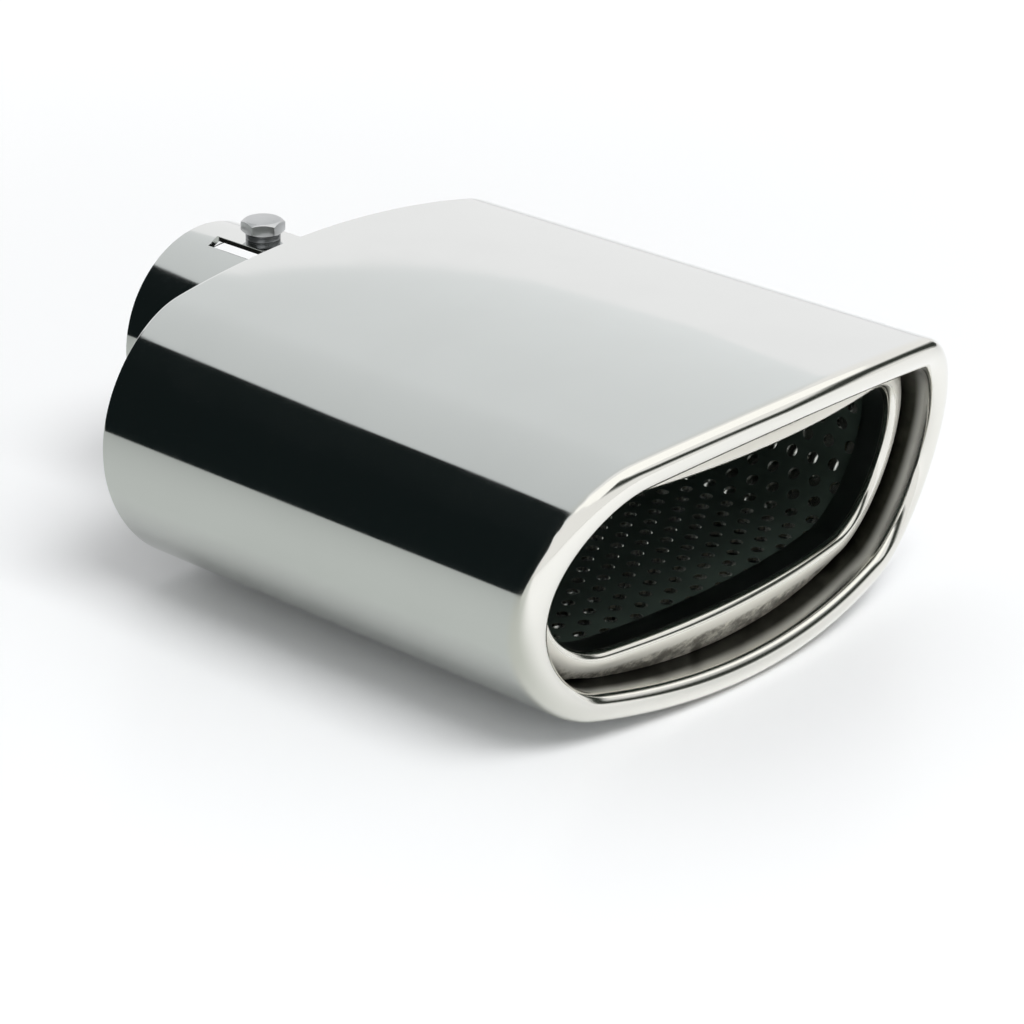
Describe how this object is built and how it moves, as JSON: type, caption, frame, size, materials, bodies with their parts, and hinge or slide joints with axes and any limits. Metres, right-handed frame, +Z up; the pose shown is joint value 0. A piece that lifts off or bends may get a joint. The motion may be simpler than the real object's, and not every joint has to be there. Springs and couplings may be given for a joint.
{
  "type": "exhaust_tip",
  "caption": "Oval slant-cut stainless exhaust tip with a rolled lip, recessed inner ring, perforated liner and a round clamp-on inlet sleeve with a set bolt.",
  "frame": {"origin": "middle of the bottom of the bounding box, under the oval shell", "axes": "+Y along the inlet sleeve, out of its open rear end; -Y out of the slanted mouth; +X across the oval; +Z up, with the slant's forward edge at the top"},
  "size_m": [0.18, 0.2336, 0.0905],
  "materials": {
    "polished_steel": "polished",
    "polished_ring": "polished",
    "liner_steel": "satin",
    "plate_steel": "satin",
    "sleeve_steel": "satin",
    "weld_steel": "matte",
    "nut_steel": "satin",
    "bolt_steel": "satin"
  },
  "bodies": {
    "root": {"outer_shell": "polished_steel", "inner_ring": "polished_ring", "perforated_liner": "liner_steel", "end_plate": "plate_steel", "inlet_sleeve": "sleeve_steel", "sleeve_weld": "weld_steel", "clamp_nut": "nut_steel", "clamp_bolt": "bolt_steel"}
  },
  "joints": []
}
